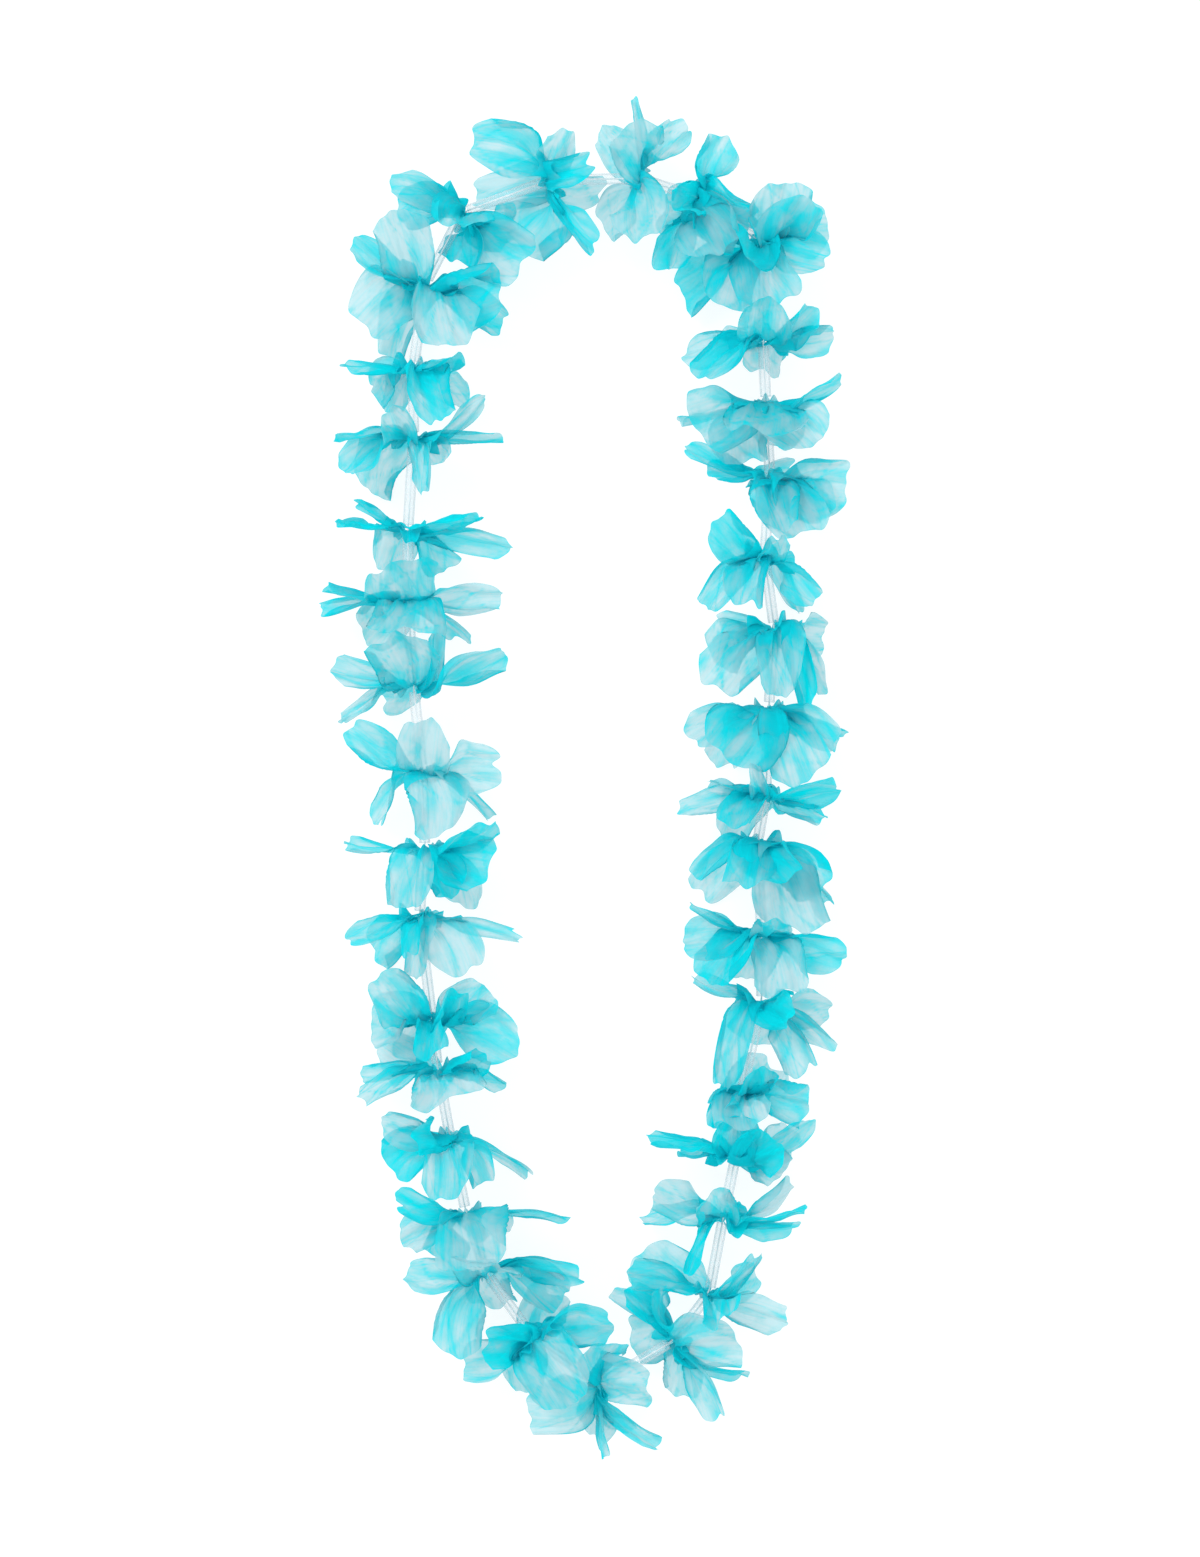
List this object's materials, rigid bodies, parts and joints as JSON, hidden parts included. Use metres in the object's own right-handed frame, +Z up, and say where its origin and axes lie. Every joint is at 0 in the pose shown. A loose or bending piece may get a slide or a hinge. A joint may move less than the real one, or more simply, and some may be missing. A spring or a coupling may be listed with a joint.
{
  "type": "flower lei",
  "caption": "Closed garland of crinkled turquoise fabric flowers on a thin string, held apart by clear straw spacers, lying flat as a long loop.",
  "frame": {"origin": "middle of the footprint, on the surface the lei lies on", "axes": "+Z up off the surface, +Y along the loop's long way towards its wide end, +X to the right as seen from above"},
  "size_m": [0.1856, 0.4766, 0.0461],
  "materials": {
    "petal_cloth": "thin crinkled dyed cloth",
    "clear_straw": "clear, smooth",
    "string": "twisted white thread"
  },
  "bodies": {
    "root": {"flower_01": "petal_cloth", "flower_02": "petal_cloth", "flower_03": "petal_cloth", "flower_04": "petal_cloth", "flower_05": "petal_cloth", "flower_06": "petal_cloth", "flower_07": "petal_cloth", "flower_08": "petal_cloth", "flower_09": "petal_cloth", "flower_10": "petal_cloth", "flower_11": "petal_cloth", "flower_12": "petal_cloth", "flower_13": "petal_cloth", "flower_14": "petal_cloth", "flower_15": "petal_cloth", "flower_16": "petal_cloth", "flower_17": "petal_cloth", "flower_18": "petal_cloth", "flower_19": "petal_cloth", "flower_20": "petal_cloth", "flower_21": "petal_cloth", "flower_22": "petal_cloth", "flower_23": "petal_cloth", "flower_24": "petal_cloth", "flower_25": "petal_cloth", "flower_26": "petal_cloth", "flower_27": "petal_cloth", "flower_28": "petal_cloth", "flower_29": "petal_cloth", "flower_30": "petal_cloth", "flower_31": "petal_cloth", "flower_32": "petal_cloth", "flower_33": "petal_cloth", "flower_34": "petal_cloth", "flower_35": "petal_cloth", "flower_36": "petal_cloth", "spacer_tubes_01": "clear_straw", "spacer_tubes_02": "clear_straw", "spacer_tubes_03": "clear_straw", "spacer_tubes_04": "clear_straw", "spacer_tubes_05": "clear_straw", "spacer_tubes_06": "clear_straw", "spacer_tubes_07": "clear_straw", "spacer_tubes_08": "clear_straw", "spacer_tubes_09": "clear_straw", "spacer_tubes_10": "clear_straw", "spacer_tubes_11": "clear_straw", "spacer_tubes_12": "clear_straw", "spacer_tubes_13": "clear_straw", "spacer_tubes_14": "clear_straw", "spacer_tubes_15": "clear_straw", "spacer_tubes_16": "clear_straw", "spacer_tubes_17": "clear_straw", "spacer_tubes_18": "clear_straw", "string": "string"}
  },
  "joints": []
}
